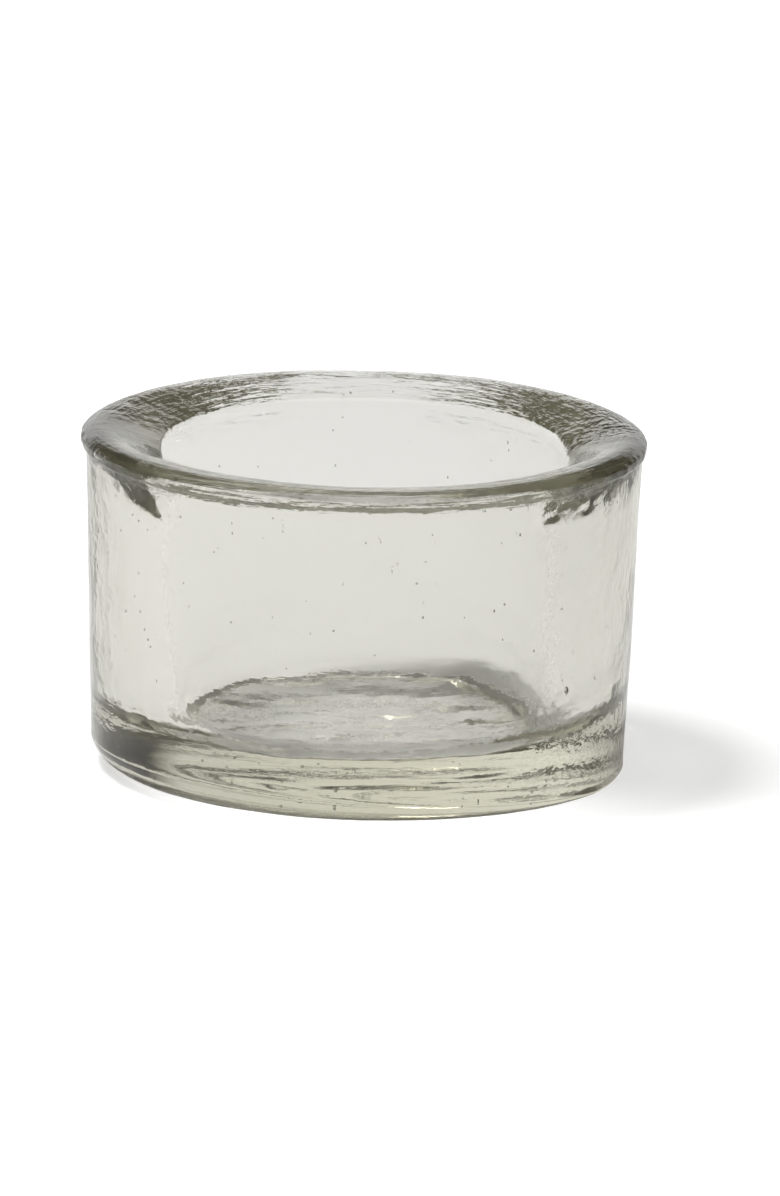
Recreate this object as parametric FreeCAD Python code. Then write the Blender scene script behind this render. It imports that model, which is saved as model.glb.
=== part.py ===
import FreeCAD, Part
import os
import math

# Tealight holder: one thick-walled piece of pressed clear glass.
# Millimetres, +Z up. Origin at the centre of the flat underside, +Z on the axis of the well.

# ---- driving dimensions -------------------------------------------------------------------
lip_r = 40.0            # outside radius of the band left by the mould joint, the widest place
lip_low_z = 46.3        # lower edge of that band
lip_high_z = 47.75      # upper edge of that band
lip_proud = 0.5         # how far the band stands out of the wall below it
wall_top_r = 39.4       # outside radius of the wall just under the band
heel_r = 37.85          # outside radius at the top of the heel radius
heel_fillet = 2.2       # radius between the wall and the underside
crown_r = 37.0          # radius of the highest ring of the rim
crown_z = 48.4          # overall height
shoulder_r = 33.6       # a point on the rim's slope in towards the well
shoulder_z = 47.62      # its height: the rim falls about 15 degrees towards the well
mouth_r = 29.9          # where the rim starts to roll over into the well
mouth_z = 46.5
roll_r = 28.55          # a point halfway round the roll-over
roll_z = 45.0
well_top_r = 28.3       # radius of the well where the roll-over ends
well_top_z = 42.5
well_floor_r = 26.6     # radius of the well, its draft carried down to the floor
floor_z = 7.4           # thickness of the base, which is where the tealight stands
floor_fillet = 3.8      # radius between the well's wall and its floor

os.makedirs("parts", exist_ok=True)


def P(r, z):
    return FreeCAD.Vector(r, 0.0, z)


def line(a, b):
    return Part.LineSegment(a, b).toShape()


def fillet_arc(corner, before, after, radius):
    """Arc of the given radius tangent to corner->before and corner->after: its two ends and the edge."""
    u = (before - corner).normalize()
    v = (after - corner).normalize()
    half = 0.5 * math.acos(max(-1.0, min(1.0, u.dot(v))))
    run = radius / math.tan(half)
    start = corner + u * run
    end = corner + v * run
    bisector = (u + v).normalize()
    centre = corner + bisector * (radius / math.sin(half))
    middle = centre - bisector * radius
    return start, end, Part.Arc(start, middle, end).toShape()


# ---- the outside: underside, heel and drafted wall -------------------------------------------
wall_slope = (wall_top_r - heel_r) / (lip_low_z - 0.35 - heel_fillet)
heel_corner = P(heel_r - wall_slope * heel_fillet, 0.0)
wall_top = P(wall_top_r, lip_low_z - 0.35)
heel_start, heel_end, heel_edge = fillet_arc(heel_corner, P(0.0, 0.0), wall_top, heel_fillet)

# ---- the band at the mould joint --------------------------------------------------------------
band_low = P(lip_r, lip_low_z)
band_high = P(lip_r, lip_high_z - 0.25)
band_in = P(lip_r - lip_proud, lip_high_z)

# ---- the crown of the rim: one smooth curve from the band over to the wall of the well ---------
crown = Part.BSplineCurve()
well_slope = (well_top_r - well_floor_r) / (well_top_z - floor_z)
crown.interpolate(
    Points=[band_in, P(crown_r, crown_z), P(shoulder_r, shoulder_z), P(mouth_r, mouth_z), P(roll_r, roll_z), P(well_top_r, well_top_z)],
    InitialTangent=P(-0.72, 0.70),
    FinalTangent=P(-well_slope, -1.0),
)
crown_edge = crown.toShape()

# ---- the well: drafted wall, fillet and floor ----------------------------------------------
floor_corner = P(well_floor_r, floor_z)
floor_start, floor_end, floor_edge = fillet_arc(floor_corner, P(well_top_r, well_top_z), P(0.0, floor_z), floor_fillet)

profile = Part.Wire(
    [
        line(P(0.0, 0.0), heel_start),
        heel_edge,
        line(heel_end, wall_top),
        line(wall_top, band_low),
        line(band_low, band_high),
        line(band_high, band_in),
        crown_edge,
        line(P(well_top_r, well_top_z), floor_start),
        floor_edge,
        line(floor_end, P(0.0, floor_z)),
        line(P(0.0, floor_z), P(0.0, 0.0)),
    ]
)
glass_body = Part.Face(profile).revolve(FreeCAD.Vector(0, 0, 0), FreeCAD.Vector(0, 0, 1), 360.0)
if glass_body.ShapeType != "Solid":
    glass_body = glass_body.Solids[0]

print("valid", glass_body.isValid(), "solids", len(glass_body.Solids), "volume cm3", round(glass_body.Volume / 1000.0, 2))
best = glass_body.optimalBoundingBox(True, False)
print("box", [round(v, 3) for v in (best.XMin, best.XMax, best.YMin, best.YMax, best.ZMin, best.ZMax)])
glass_body.exportStep("parts/glass_body.step")
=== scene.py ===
import math
import bpy
import numpy as np
from mathutils import Matrix, Vector


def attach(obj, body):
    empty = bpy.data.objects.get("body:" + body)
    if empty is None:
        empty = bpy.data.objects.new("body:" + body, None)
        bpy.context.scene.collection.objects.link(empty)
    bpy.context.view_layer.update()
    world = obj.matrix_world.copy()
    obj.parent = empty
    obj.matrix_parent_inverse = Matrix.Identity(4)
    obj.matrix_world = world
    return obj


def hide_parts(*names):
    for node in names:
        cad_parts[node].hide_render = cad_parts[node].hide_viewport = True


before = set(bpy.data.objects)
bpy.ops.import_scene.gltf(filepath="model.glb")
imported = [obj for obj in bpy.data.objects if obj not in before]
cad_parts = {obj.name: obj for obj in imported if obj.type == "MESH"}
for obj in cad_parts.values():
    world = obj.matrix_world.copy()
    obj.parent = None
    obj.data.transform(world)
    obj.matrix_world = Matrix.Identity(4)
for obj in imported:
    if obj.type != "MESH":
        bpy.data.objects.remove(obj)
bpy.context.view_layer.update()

MM = 0.001
scene = bpy.context.scene
rng = np.random.default_rng(20)

# ---------------------------------------------------------------------------------- camera
# A long lens a metre and a half away, looking 13 degrees down, as the product shot does.
DIST, ELEV, PAN, PITCH, ROLL, FOCAL_PX, FRAME_H = 1576.6, 0.2319, 0.0028, 0.0006, 0.0147, 11109.0, 1196.0


def unit(v):
    return v / np.linalg.norm(v)


def make_camera():
    eye = np.array([0.0, -DIST * math.cos(ELEV), DIST * math.sin(ELEV) + 23.0])
    fw = np.array([0.0, math.cos(ELEV), -math.sin(ELEV)])
    right = np.array([1.0, 0.0, 0.0])
    up = np.cross(right, fw)
    fw = unit(fw + PAN * right + PITCH * up)
    right = unit(np.cross(fw, [0.0, 0.0, 1.0]))
    up = np.cross(right, fw)
    c, s = math.cos(ROLL), math.sin(ROLL)
    right, up = c * right + s * up, -s * right + c * up
    m = Matrix.Identity(4)
    for i in range(3):
        m[i][0], m[i][1], m[i][2], m[i][3] = right[i], up[i], -fw[i], eye[i] * MM
    data = bpy.data.cameras.new("camera")
    data.sensor_fit = "VERTICAL"
    data.sensor_height = 24.0
    data.lens = 24.0 * FOCAL_PX / FRAME_H
    data.clip_start = 0.05
    data.clip_end = 60.0
    cam = bpy.data.objects.new("camera", data)
    cam.matrix_world = m
    scene.collection.objects.link(cam)
    scene.camera = cam


make_camera()

# ---------------------------------------------------------------------------------- smooth noise
# Value noise on a lattice, the same every run.
TABLE = rng.random((64, 64, 64)).astype(np.float64) * 2.0 - 1.0


def noise3(p, seed=0):
    p = np.asarray(p, dtype=np.float64) + 17.31 * seed
    i = np.floor(p).astype(int)
    f = p - i
    f = f * f * f * (f * (f * 6 - 15) + 10)
    out = 0.0
    for dx in (0, 1):
        wx = f[..., 0] if dx else 1 - f[..., 0]
        for dy in (0, 1):
            wy = f[..., 1] if dy else 1 - f[..., 1]
            for dz in (0, 1):
                wz = f[..., 2] if dz else 1 - f[..., 2]
                out = out + wx * wy * wz * TABLE[(i[..., 0] + dx) % 64, (i[..., 1] + dy) % 64, (i[..., 2] + dz) % 64]
    return out


def smooth(a, b, x):
    t = np.clip((x - a) / (b - a), 0.0, 1.0)
    return t * t * (3 - 2 * t)


# ---------------------------------------------------------------------------------- the glass
H = 48.4
N_TH = 360
theta = np.linspace(0.0, 2 * np.pi, N_TH, endpoint=False)
ct, st = np.cos(theta), np.sin(theta)


def spline(points, n, t0=None, t1=None):
    """Catmull-Rom through the points, evenly spaced along its length, without the last point."""
    pts = np.array(points, float)
    a = pts[0] - (np.array(t0) if t0 is not None else pts[1] - pts[0])
    b = pts[-1] + (np.array(t1) if t1 is not None else pts[-1] - pts[-2])
    ext = np.vstack([a, pts, b])
    out = []
    for k in range(1, len(ext) - 2):
        p0, p1, p2, p3 = ext[k - 1 : k + 3]
        d1, d2, d3 = (max(np.linalg.norm(q - p), 1e-6) ** 0.5 for p, q in ((p0, p1), (p1, p2), (p2, p3)))
        for u in np.linspace(0, 1, 40, endpoint=False):
            t = u * d2
            A1 = (-t) / d1 * p0 + (t + d1) / d1 * p1
            A2 = (d2 - t) / d2 * p1 + t / d2 * p2
            A3 = (d2 + d3 - t) / d3 * p2 + (t - d2) / d3 * p3
            B1 = (d2 - t) / (d1 + d2) * A1 + (t + d1) / (d1 + d2) * A2
            B2 = (d2 + d3 - t) / (d2 + d3) * A2 + t / (d2 + d3) * A3
            out.append((d2 - t) / d2 * B1 + t / d2 * B2)
    out.append(pts[-1])
    out = np.array(out)
    s = np.concatenate([[0], np.cumsum(np.linalg.norm(np.diff(out, axis=0), axis=1))])
    w = np.linspace(0, s[-1], n, endpoint=False)
    return np.stack([np.interp(w, s, out[:, 0]), np.interp(w, s, out[:, 1])], 1)


FLOOR_Z, FILLET = 7.4, 3.8
WELL_LOW_R, WELL_TOP_R, WELL_TOP_Z = 26.6, 28.13, 39.0
CREST = [(39.55, 47.8), (38.5, 48.25), (37.1, 48.4)]
TIGHT = [(35.3, 48.12), (33.2, 47.53), (31.2, 46.93), (29.7, 46.46), (28.85, 46.08), (28.5, 45.35), (28.36, 43.6), (28.23, 41.0), (WELL_TOP_R, WELL_TOP_Z)]
ROUND = [(35.3, 48.10), (33.5, 47.50), (32.0, 46.75), (30.8, 45.75), (29.8, 44.45), (29.0, 42.9), (28.55, 41.4), (28.27, 40.1), (WELL_TOP_R, WELL_TOP_Z)]


def rings(rho, mouth, fillet):
    """The cross-section for one heel radius and one mouth shape and one well fillet, as rings of (r, z), from the underside's
    centre round to the well floor's."""
    heel_r, wall_r = 37.92, 39.36
    parts, tags = [], []

    def add(p, tag):
        parts.append(np.asarray(p, float))
        tags.extend([tag] * len(p))

    slope = (wall_r - heel_r) / 43.0
    flat = heel_r - rho
    u = np.linspace(0, 1, 39, endpoint=False)[1:]
    add(np.stack([u * flat, np.zeros_like(u)], 1), 0)
    a = np.linspace(0, np.pi / 2, 12, endpoint=False)
    add(np.stack([flat + rho * np.sin(a), rho - rho * np.cos(a)], 1), 1)
    z = np.linspace(rho, 45.7, 42, endpoint=False)
    add(np.stack([heel_r + slope * (z - rho), z], 1), 2)
    add(spline([(wall_r, 45.7), (39.55, 46.15), (39.92, 46.4), (40.0, 46.9), (39.95, 47.45), (39.55, 47.8)], 16), 3)
    crown = CREST + [tuple(p) for p in mouth]
    add(spline(crown, 54, t1=(-0.06, -1.24)), 4)
    lean = (WELL_TOP_R - WELL_LOW_R) / (WELL_TOP_Z - FLOOR_Z)
    z = np.linspace(WELL_TOP_Z, FLOOR_Z + fillet, 38, endpoint=False)
    add(np.stack([WELL_LOW_R + (z - FLOOR_Z) * lean, z], 1), 5)
    a = np.linspace(0, np.pi / 2, 20, endpoint=False)
    r0 = WELL_LOW_R + fillet * lean
    add(np.stack([r0 - fillet + fillet * np.cos(a), FLOOR_Z + fillet - fillet * np.sin(a)], 1), 6)
    u = np.linspace(1, 0, 27, endpoint=False)
    add(np.stack([u * (r0 - fillet), np.full_like(u, FLOOR_Z)], 1), 7)
    return np.vstack(parts), np.array(tags)


rho = np.clip(1.97 + 4.0 * np.cos(theta - 3.913), 0.7, 6.0)
deg = np.degrees(theta)
TIGHT, ROUND = np.array(TIGHT), np.array(ROUND)


def around(pts, at=None):
    """A value by azimuth in degrees, straight between the given points, wrapping round."""
    a = np.array([p[0] for p in pts], float)
    v = np.array([p[1] for p in pts], float)
    return np.interp(deg if at is None else at, np.r_[a[-1] - 360, a, a[0] + 360], np.r_[v[-1], v, v[0]])


# the mouth is drawn down where the plunger came off, at the left and the right, and crisp elsewhere
roll = around([(2, 0.55), (6, 0.30), (12, 0.05), (20, 0.0), (180, 0.0), (188, 0.25), (196, 0.75), (211.5, 1.45), (213.5, 0.30), (300, 0.28), (317, 0.30), (319, 1.05), (335, 1.10), (350, 0.65)])
fillet = FILLET + around([(0, 0.2), (15, 0.6), (40, 1.0), (62, 0.4), (75, 0.0), (112, 0.0), (130, -1.3), (160, -1.5), (185, -0.5), (200, 0.0), (330, 0.0)])


def mouth_at(k):
    m = (1 - k) * TIGHT + k * ROUND
    m[:, 0] = np.maximum(m[:, 0], WELL_TOP_R)
    return m


base_prof, tag = rings(2.0, TIGHT, FILLET)
n_ring = len(base_prof)
R = np.empty((n_ring, N_TH))
Z = np.empty((n_ring, N_TH))
for j in range(N_TH):
    p, _ = rings(rho[j], mouth_at(roll[j]), fillet[j])
    R[:, j], Z[:, j] = p[:, 0], p[:, 1]
def bump_at(lo, hi, soft):
    """1 between two azimuths in degrees, falling off over soft degrees each side."""
    mid, half = (lo + hi) / 2.0, (hi - lo) / 2.0
    off = np.abs((deg - mid + 180.0) % 360.0 - 180.0)
    return smooth(half + soft, half, off)


# outward normal of the cross-section
dR = np.gradient(R, axis=0)
dZ = np.gradient(Z, axis=0)
ln = np.hypot(dR, dZ) + 1e-9
nr, nz = dZ / ln, -dR / ln
Z = Z + np.where(tag[:, None] == 4, 0.45 * bump_at(222, 318, 30) * np.exp(-(((R - 34.0) / 1.8) ** 2)), 0)
X, Y = R * ct, R * st
tg = tag[:, None]

P3 = np.stack([X, Y, Z], -1)


def field(size, seed, sx=1.0, sz=1.0):
    q = P3 / size
    q = q * np.array([sx, sx, sz])
    return noise3(q + 31.7, seed)


big = field(17.0, 1)
mid = field(6.0, 2)
small = field(2.4, 3)
disp = np.zeros_like(R)
wall = (tg == 2) | (tg == 3)
left, right = bump_at(160, 203, 14), bump_at(-42, 15, 15)
upright = field(3.0, 5, sx=1.0, sz=0.12)
mottle = field(3.4, 6)
disp += np.where(wall, 0.10 * big + 0.022 * mid + 0.005 * small + left * (0.022 * upright + 0.012 * mottle) + right * 0.024 * mottle, 0)
crown = tg == 4
back_left, back_right = bump_at(100, 160, 15), bump_at(5, 80, 12)
disp += np.where(crown, 0.13 * big + 0.045 * mid + 0.010 * small + (back_left + back_right) * (0.030 * mottle + 0.016 * small), 0)
burr = bump_at(181, 190, 3) + 0.6 * bump_at(338, 350, 5)
disp += np.where(tg == 3, 0.05 * mid + 0.03 * small + burr * (0.16 * field(1.1, 12) + 0.08 * small), 0)
# the torn edge of the mouth where the plunger left, and drawn rings round the crown
torn = bump_at(192, 214, 4) + bump_at(317, 345, 4)
disp += np.where(crown & (R < 31.5), smooth(40.0, 43.0, Z) * torn * (0.14 * field(1.3, 15) + 0.05 * small), 0)
drawn = noise3(np.stack([(R - 0.9 * Z) / 0.95, 5.0 * ct + 0 * R, 5.0 * st + 0 * R], -1) + 4.4, 16)
disp += np.where(crown, smooth(41.0, 45.5, Z) * (0.016 + 0.030 * back_left + 0.024 * back_right) * drawn, 0)
well = (tg == 5) | (tg == 6)
near_floor = smooth(16.0, 10.0, Z)
disp += np.where(well, 0.14 * big + 0.045 * mid + 0.008 * small + near_floor * 0.05 * field(2.8, 7), 0)
floor_ = tg == 7
zig = 1.1 * np.abs(((X / 5.2) % 2.0) - 1.0) + 0.6 * np.abs(((X / 2.9 + 0.4) % 2.0) - 1.0)
swell = noise3(np.stack([X / 13.0, (Y + zig) / 4.2, 0 * X], -1) + 5.3, 8)
chop = noise3(np.stack([X / 5.0, (Y + zig) / 2.2, 0 * X], -1) + 9.1, 9)
edge = smooth(6.0, 20.0, R)
disp += np.where((tg >= 6), (0.10 * big + (0.25 + 0.75 * edge) * (0.125 * swell + 0.065 * chop)), 0)
fold = 0.24 * bump_at(304, 331, 4) + 0.12 * bump_at(232, 250, 4)
disp += np.where(tg >= 6, -fold * np.exp(-(((R - 24.9 - 0.25 * mid) / 0.8) ** 2)), 0)
disp += np.where(tg == 1, 0.04 * mid + 0.01 * small, 0)
# the underside dips in a little, so that it stands on its outer ring
drag = noise3(np.stack([X / 15.0, Y / 4.6, 0 * X], -1) + 2.7, 10)
rill = noise3(np.stack([X / 7.0, Y / 2.6, 0 * X], -1) + 6.7, 14)


def groove(x0, y0, x1, y1, width, depth):
    """A drawn line in the underside: a shallow groove between two points."""
    ex, ey = x1 - x0, y1 - y0
    ll = math.hypot(ex, ey)
    along = ((X - x0) * ex + (Y - y0) * ey) / ll
    across = ((X - x0) * ey - (Y - y0) * ex) / ll + 0.35 * np.sin(along / 1.7)
    return depth * np.exp(-(across / width) ** 2) * smooth(-1.5, 1.0, along) * smooth(ll + 1.5, ll - 1.0, along)


lines = groove(-17, 9, 10, 16, 2.4, 0.17) + groove(-16, 4, 2, 9, 1.5, 0.09) + groove(-4, -13, 12, 13, 0.9, 0.05) + groove(-12, -16, 3, -14, 1.1, 0.06) + groove(2, -15, 17, -9, 1.2, 0.07) + groove(12, 4, 20, 14, 1.6, 0.10) + groove(14, 9, 27, 15, 1.0, 0.16) + groove(-27, -2, -12, 3, 1.3, 0.10)
rim_in = smooth(1.0, 0.90, R / np.maximum(R[37][None, :], 1e-3))
under = np.where(tg == 0, -(0.22 + 0.06 * mid + 0.120 * drag + 0.060 * rill + 0.014 * small + 1.7 * lines) * rim_in, 0)
disp += under

R2 = R + nr * disp
Z2 = Z + nz * disp
Z2 = np.where(tg <= 1, np.maximum(Z2, 0.0), Z2)
X, Y = R2 * ct, R2 * st
w = np.clip(Z2 / H, 0, 1)
Xf = X + 0.0095 * Z2
Yf = Y - 0.0023 * Z2
Zf = Z2 + w * (-0.0049 * X + 0.0147 * Y)

verts = np.stack([Xf, Yf, Zf], -1).reshape(-1, 3)
faces = []
idx = np.arange(n_ring * N_TH).reshape(n_ring, N_TH)
a = idx[:-1, :]
b = np.roll(a, -1, axis=1)
c = np.roll(idx[1:, :], -1, axis=1)
d = idx[1:, :]
quads = np.stack([a, b, c, d], -1).reshape(-1, 4)
bottom_c = len(verts)
top_c = bottom_c + 1
verts = np.vstack([verts, [[0, 0, float(Zf[0].mean())]], [[Xf[-1].mean(), Yf[-1].mean(), Zf[-1].mean()]]])
tris_bottom = np.stack([np.full(N_TH, bottom_c), np.roll(idx[0], -1), idx[0]], -1)
tris_top = np.stack([np.full(N_TH, top_c), idx[-1], np.roll(idx[-1], -1)], -1)
faces = [list(map(int, f)) for f in quads] + [list(map(int, f)) for f in tris_bottom] + [list(map(int, f)) for f in tris_top]

# seeds: tiny voids in the glass, each a small closed shell facing inwards
oct_v = np.array([[1, 0, 0], [-1, 0, 0], [0, 1, 0], [0, -1, 0], [0, 0, 1], [0, 0, -1]], float)
oct_f = [(0, 2, 4), (2, 1, 4), (1, 3, 4), (3, 0, 4), (2, 0, 5), (1, 2, 5), (3, 1, 5), (0, 3, 5)]
ball_v, ball_f, midpoint = [tuple(v) for v in oct_v], [], {}


def halfway(i, j):
    k = (min(i, j), max(i, j))
    if k not in midpoint:
        ball_v.append(tuple(unit(np.array(ball_v[i]) + np.array(ball_v[j]))))
        midpoint[k] = len(ball_v) - 1
    return midpoint[k]


for i, j, k in oct_f:
    ij, jk, ki = halfway(i, j), halfway(j, k), halfway(k, i)
    ball_f += [(i, ij, ki), (ij, j, jk), (ki, jk, k), (ij, jk, ki)]
ball = np.array(ball_v)
shells = []
for _ in range(120):
    t, zz = rng.uniform(0, 2 * np.pi), rng.uniform(13.0, 43.0)
    inner = WELL_LOW_R + (WELL_TOP_R - WELL_LOW_R) * (zz - FLOOR_Z) / (WELL_TOP_Z - FLOOR_Z)
    rr = rng.uniform(inner + 1.6, 37.0)
    shells.append((rr * math.cos(t), rr * math.sin(t), zz, rng.uniform(0.08, 0.17), rng.uniform(1.0, 1.6)))
for _ in range(45):
    t, rr = rng.uniform(0, 2 * np.pi), 35.0 * math.sqrt(rng.uniform(0, 1))
    shells.append((rr * math.cos(t), rr * math.sin(t), rng.uniform(1.2, FLOOR_Z - 1.2), rng.uniform(0.10, 0.20), 1.0))
for _ in range(16):
    t, rr = rng.uniform(0, 2 * np.pi), rng.uniform(31.5, 37.0)
    shells.append((rr * math.cos(t), rr * math.sin(t), rng.uniform(44.0, 45.6), rng.uniform(0.10, 0.24), 1.0))
shells += [(27.9, -22.0, 16.5, 0.42, 1.5), (25.3, -16.4, 44.3, 0.34, 1.2)]
for cx, cy, cz, rad_, tall in shells:
    start = len(verts)
    verts = np.vstack([verts, ball * np.array([rad_, rad_, rad_ * tall]) + np.array([cx + 0.0095 * cz, cy - 0.0023 * cz, cz])])
    faces += [[start + i, start + k, start + j] for i, j, k in ball_f]

mesh = bpy.data.meshes.new("glass_holder")
mesh.from_pydata((verts * MM).tolist(), [], faces)
mesh.validate()
mesh.update()
for poly in mesh.polygons:
    poly.use_smooth = True
print("triangles", sum(len(p.vertices) - 2 for p in mesh.polygons))

# how strongly each place is rippled: fine is orange peel, coarse is the larger mottling, streak is the drawn lines
ones = np.ones_like(R)
calm = 1 - 0.65 * bump_at(78, 108, 12)
grain = smooth(8.6, 10.2, Z) * smooth(14.0, 11.5, Z) * bump_at(20, 165, 15) * (1 - 0.65 * bump_at(0, 55, 10))
fine_w = np.select([tg == 4, tg == 3, tg == 2, tg == 5, tg == 6, tg == 7, tg == 0],
                   [calm * (0.5 + 1.4 * back_right + 3.0 * back_left + 16.0 * torn * (R < 31.5)), 2.5 * ones, 0.07 + 0.8 * right + 0.7 * left, 0.08 + 11.0 * grain, 0.6 + 11.0 * grain, 0.5 * ones,
                    0.35 + 3.6 * np.clip(lines / 0.12, 0, 1.3) + 1.2 * smooth(0.1, 0.45, noise3(np.stack([X / 9.0, Y / 6.0, 0 * X], -1) + 3.3, 11))], 0.3 * ones)
coarse_w = np.select([tg == 4, tg == 3, tg == 2, tg == 5, tg == 6, tg == 7, tg == 0],
                     [calm * (0.6 + 3.4 * back_right + 3.6 * back_left), 1.5 * ones, 0.05 + 0.9 * right + 0.8 * left, 0.07 + 1.4 * near_floor, 1.2 * ones, 0.9 * ones, 0.5 * ones], 0.4 * ones)
streak_w = np.select([tg == 4, tg == 3, tg == 2, tg == 5], [0.6 * ones, 1.2 * ones, 0.22 + 0.9 * left, 0.15 * ones], 0.12 * ones)
ring_w = np.select([tg == 4, tg == 3], [calm * (1.0 + 3.0 * back_left + 3.2 * back_right), 2.0 * ones], 0 * ones)
# the rim's relief fades out down the mouth, so that no line shows where it ends
down = smooth(41.0, 45.5, Z)
fine_w = np.where(tg == 4, 0.08 + (fine_w - 0.08) * down, fine_w)
coarse_w = np.where(tg == 4, 0.07 + (coarse_w - 0.07) * down, coarse_w)
streak_w = np.where(tg == 4, 0.15 + (streak_w - 0.15) * down, streak_w)
ring_w = np.where(tg == 4, ring_w * down, ring_w)
dent = np.where(tg == 0, 5.4 * np.clip(lines / 0.12, 0, 1.3) + 2.6 * smooth(0.1, 0.45, noise3(np.stack([X / 9.0, Y / 6.0, 0 * X], -1) + 3.3, 11)), 0)
extra = len(verts) - n_ring * N_TH
for name, weight in (("fine", fine_w), ("coarse", coarse_w), ("streak", streak_w), ("ringed", ring_w), ("dent", dent)):
    at = mesh.attributes.new(name, "FLOAT", "POINT")
    at.data.foreach_set("value", np.concatenate([(weight * ones).reshape(-1), np.zeros(extra)]).astype(np.float32))
holder = bpy.data.objects.new("glass_holder", mesh)
scene.collection.objects.link(holder)

# ---------------------------------------------------------------------------------- glass material
mat = bpy.data.materials.new("clear_pressed_glass")
mat.use_nodes = True
nt = mat.node_tree
bsdf = nt.nodes["Principled BSDF"]
bsdf.inputs["Base Color"].default_value = (1, 1, 1, 1)
bsdf.inputs["Transmission Weight"].default_value = 1.0
bsdf.inputs["Roughness"].default_value = 0.0
bsdf.inputs["IOR"].default_value = 1.51
vol = nt.nodes.new("ShaderNodeVolumeAbsorption")
vol.inputs["Color"].default_value = (0.805, 0.795, 0.722, 1)
vol.inputs["Density"].default_value = 37.0
nt.links.new(vol.outputs["Volume"], nt.nodes["Material Output"].inputs["Volume"])
gn = nt.nodes.new
geo = gn("ShaderNodeTexCoord")


def noise_node(scale, stretch=(1.0, 1.0, 1.0), detail=2.0):
    m = gn("ShaderNodeMapping")
    m.inputs["Scale"].default_value = tuple(scale * v for v in stretch)
    nt.links.new(geo.outputs["Object"], m.inputs["Vector"])
    t = gn("ShaderNodeTexNoise")
    t.inputs["Scale"].default_value = 1.0
    t.inputs["Detail"].default_value = detail
    nt.links.new(m.outputs["Vector"], t.inputs["Vector"])
    return t.outputs["Fac"]


def times(a, b):
    m = gn("ShaderNodeMath")
    m.operation = "MULTIPLY"
    for i, v in enumerate((a, b)):
        if isinstance(v, (int, float)):
            m.inputs[i].default_value = v
        else:
            nt.links.new(v, m.inputs[i])
    return m.outputs[0]


def plus(a, b):
    m = gn("ShaderNodeMath")
    m.operation = "ADD"
    nt.links.new(a, m.inputs[0])
    nt.links.new(b, m.inputs[1])
    return m.outputs[0]


def weight_of(name):
    n = gn("ShaderNodeAttribute")
    n.attribute_name = name
    return n.outputs["Fac"]


# heights in millimetres
def centred(v):
    m = gn("ShaderNodeMath")
    m.operation = "SUBTRACT"
    nt.links.new(v, m.inputs[0])
    m.inputs[1].default_value = 0.5
    return m.outputs[0]


height = times(times(centred(noise_node(1700.0)), weight_of("fine")), 0.026)
height = plus(height, times(times(centred(noise_node(620.0, detail=1.0)), weight_of("coarse")), 0.060))
height = plus(height, times(times(centred(noise_node(260.0, (1.0, 1.0, 7.0), 2.0)), weight_of("streak")), 0.030))
# rings drawn round the rim, in a space that runs with the radius and only slowly round the axis
xyz = gn("ShaderNodeSeparateXYZ")
nt.links.new(geo.outputs["Object"], xyz.inputs[0])


def calc(op, a, b=None):
    m = gn("ShaderNodeMath")
    m.operation = op
    for i, v in enumerate((a, b)):
        if isinstance(v, (int, float)):
            m.inputs[i].default_value = v
        elif v is not None:
            nt.links.new(v, m.inputs[i])
    return m.outputs[0]


radius = calc("SQRT", plus(times(xyz.outputs[0], xyz.outputs[0]), times(xyz.outputs[1], xyz.outputs[1])))
turned = gn("ShaderNodeCombineXYZ")
nt.links.new(calc("MULTIPLY", calc("SUBTRACT", radius, times(xyz.outputs[2], 0.9)), 1900.0), turned.inputs[0])
nt.links.new(times(calc("DIVIDE", xyz.outputs[0], calc("MAXIMUM", radius, 0.001)), 7.0), turned.inputs[1])
nt.links.new(times(calc("DIVIDE", xyz.outputs[1], calc("MAXIMUM", radius, 0.001)), 7.0), turned.inputs[2])
ring_noise = gn("ShaderNodeTexNoise")
ring_noise.inputs["Scale"].default_value = 1.0
ring_noise.inputs["Detail"].default_value = 2.0
nt.links.new(turned.outputs[0], ring_noise.inputs["Vector"])
height = plus(height, times(weight_of("dent"), 0.013))
height = plus(height, times(times(centred(ring_noise.outputs["Fac"]), weight_of("ringed")), 0.085))
bump = gn("ShaderNodeBump")
bump.inputs["Strength"].default_value = 1.0
bump.inputs["Distance"].default_value = 0.001
nt.links.new(height, bump.inputs["Height"])
nt.links.new(bump.outputs["Normal"], bsdf.inputs["Normal"])
mesh.materials.append(mat)

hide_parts("glass_body")
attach(holder, "root")

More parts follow.
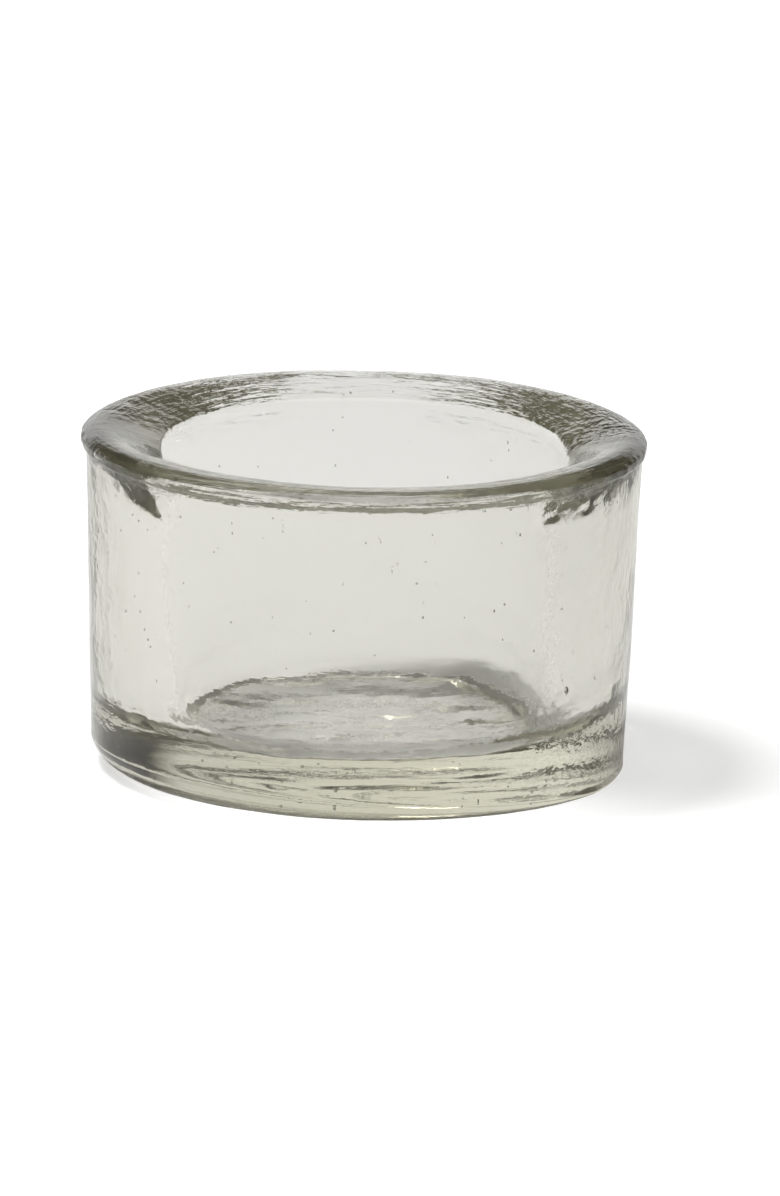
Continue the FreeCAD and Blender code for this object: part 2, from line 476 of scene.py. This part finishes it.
# ---------------------------------------------------------------------------------- floor
def node_tools(tree):
    def node(kind, **kw):
        n = tree.nodes.new(kind)
        for k, v in kw.items():
            setattr(n, k, v)
        return n

    def put(socket, v):
        if isinstance(v, (int, float)):
            socket.default_value = v
        else:
            tree.links.new(v, socket)

    def math_(op, a, b=None, clamp=False):
        n = node("ShaderNodeMath", operation=op)
        n.use_clamp = clamp
        put(n.inputs[0], a)
        if b is not None:
            put(n.inputs[1], b)
        return n.outputs[0]

    def ramp(v, lo, hi, to_lo=0.0, to_hi=1.0):
        n = node("ShaderNodeMapRange", interpolation_type="SMOOTHSTEP")
        put(n.inputs["Value"], v)
        for k, x in (("From Min", lo), ("From Max", hi), ("To Min", to_lo), ("To Max", to_hi)):
            n.inputs[k].default_value = x
        return n.outputs["Result"]

    def curve(v, lo, hi, stops, top=2.0):
        """A table of (position, value) read through a colour ramp; values up to top."""
        m = node("ShaderNodeMapRange")
        put(m.inputs["Value"], v)
        for k, x in (("From Min", lo), ("From Max", hi), ("To Min", 0.0), ("To Max", 1.0)):
            m.inputs[k].default_value = x
        r = node("ShaderNodeValToRGB")
        tree.links.new(m.outputs["Result"], r.inputs[0])
        els = r.color_ramp.elements
        while len(els) > 1:
            els.remove(els[-1])
        for i, (p, x) in enumerate(stops):
            e = els[0] if i == 0 else els.new((p - lo) / (hi - lo))
            e.position = (p - lo) / (hi - lo)
            e.color = (x / top, x / top, x / top, 1.0)
        return math_("MULTIPLY", r.outputs[0], top)

    return node, put, math_, ramp, curve


bpy.ops.mesh.primitive_circle_add(vertices=128, radius=5.0, fill_type="NGON", location=(0, 0, -0.0001))
floor = bpy.context.object
floor.name = "studio_floor"
fm = bpy.data.materials.new("studio_floor")
fm.use_nodes = True
for n in list(fm.node_tree.nodes):
    fm.node_tree.nodes.remove(n)
node, put, math_, ramp, curve = node_tools(fm.node_tree)
tc = node("ShaderNodeTexCoord")
sep = node("ShaderNodeSeparateXYZ")
fm.node_tree.links.new(tc.outputs["Object"], sep.inputs[0])
az = math_("MULTIPLY", math_("ARCTAN2", sep.outputs[0], sep.outputs[1]), 57.29578)
lp = node("ShaderNodeLightPath")
rad = math_("MULTIPLY", math_("POWER", math_("ADD", math_("POWER", sep.outputs[0], 2.0), math_("POWER", sep.outputs[1], 2.0)), 0.5), 1000.0)
# one pale paper sweep, with painted light: its emission rises away from the object and in front of it
seen = node("ShaderNodeBsdfDiffuse")
glow = node("ShaderNodeEmission")
glow.inputs["Color"].default_value = (1, 1, 1, 1)
# painted light: extra emission beyond 90 mm from the object and on the camera side, lightening the shadow there
painted_light_lift = math_("ADD", ramp(rad, 90.0, 260.0, 0.0, 0.45), math_("MULTIPLY", ramp(math_("ABSOLUTE", az), 100.0, 150.0), 0.40))
# camera rays see the paper with added emission that runs it out to white, plus that painted light, which washes out
# the shadow in front of the object; everything else meets it as even, pale grey
direct = lp.outputs["Is Camera Ray"]
put(glow.inputs["Strength"], math_("ADD", 0.06, math_("MULTIPLY", direct, math_("ADD", 0.49, painted_light_lift))))
fm.node_tree.links.new(math_("SUBTRACT", 0.69, math_("MULTIPLY", direct, 0.25)), seen.inputs["Color"])
seen_sum = node("ShaderNodeAddShader")
fm.node_tree.links.new(seen.outputs[0], seen_sum.inputs[0])
fm.node_tree.links.new(glow.outputs[0], seen_sum.inputs[1])
fo = node("ShaderNodeOutputMaterial")
fm.node_tree.links.new(seen_sum.outputs[0], fo.inputs["Surface"])
floor.data.materials.append(fm)

# ---------------------------------------------------------------------------------- studio
# A lit backdrop behind the object, dark gaps beside it, a soft light overhead.
world = bpy.data.worlds.new("studio")
scene.world = world
world.use_nodes = True
wt = world.node_tree
for n in list(wt.nodes):
    wt.nodes.remove(n)
node, put, math_, ramp, curve = node_tools(wt)
tc = node("ShaderNodeTexCoord")
sep = node("ShaderNodeSeparateXYZ")
wt.links.new(tc.outputs["Generated"], sep.inputs[0])
dx, dy, dz = sep.outputs
az = math_("MULTIPLY", math_("ARCTAN2", dx, dy), 57.29578)      # 0 straight behind, + to the right
el = math_("MULTIPLY", math_("ARCSINE", dz), 57.29578)
low = curve(az, -180, 180, [(-180, 0.2), (-110, 0.2), (-60, 0.9), (-40, 1.2), (0, 1.1), (30, 0.9), (40, 0.05), (70, 0.05), (80, 0.7), (110, 0.7), (120, 0.2), (180, 0.2)])
high = 0.16
top = 1.15
w_low = ramp(el, 16.0, 24.0, 1.0, 0.0)
w_high = math_("MULTIPLY", ramp(el, 16.0, 24.0), ramp(el, 55.0, 68.0, 1.0, 0.0))
w_top = ramp(el, 55.0, 68.0)
total = math_("ADD", math_("MULTIPLY", low, w_low), math_("MULTIPLY", high, w_high))
total = math_("ADD", total, math_("MULTIPLY", w_top, top))
lp = node("ShaderNodeLightPath")
bg_seen = node("ShaderNodeBackground")
bg_seen.inputs["Color"].default_value = (1, 1, 1, 1)
bg_seen.inputs["Strength"].default_value = 1.0
bg_light = node("ShaderNodeBackground")
white = ramp(total, 0.10, 0.80)
warm = node("ShaderNodeCombineColor")
warm.inputs["Red"].default_value = 1.0
wt.links.new(math_("ADD", 0.98, math_("MULTIPLY", white, 0.02)), warm.inputs["Green"])
wt.links.new(math_("ADD", 0.88, math_("MULTIPLY", white, 0.12)), warm.inputs["Blue"])
wt.links.new(warm.outputs[0], bg_light.inputs["Color"])
wt.links.new(total, bg_light.inputs["Strength"])
mix = node("ShaderNodeMixShader")
put(mix.inputs[0], lp.outputs["Is Camera Ray"])
wt.links.new(bg_light.outputs[0], mix.inputs[1])
wt.links.new(bg_seen.outputs[0], mix.inputs[2])
wo = node("ShaderNodeOutputWorld")
wt.links.new(mix.outputs[0], wo.inputs["Surface"])
world.cycles.sampling_method = "MANUAL"
world.cycles.sample_map_resolution = 1024

# ---------------------------------------------------------------------------------- key light
key = bpy.data.lights.new("key", "AREA")
key.shape = "DISK"
key.size = 0.30
key.energy = 10.0
ko = bpy.data.objects.new("key", key)
direction = Vector((-16.0, 0.0, 47.0)).normalized()
ko.location = direction * 1.1
ko.rotation_euler = direction.to_track_quat("Z", "Y").to_euler()
ko.visible_glossy = False
scene.collection.objects.link(ko)

scene.view_settings.view_transform = "Standard"
scene.view_settings.gamma = 0.93
scene.cycles.max_bounces = 32
scene.cycles.transmission_bounces = 32
scene.cycles.glossy_bounces = 24
scene.cycles.diffuse_bounces = 4
scene.cycles.use_denoising = True
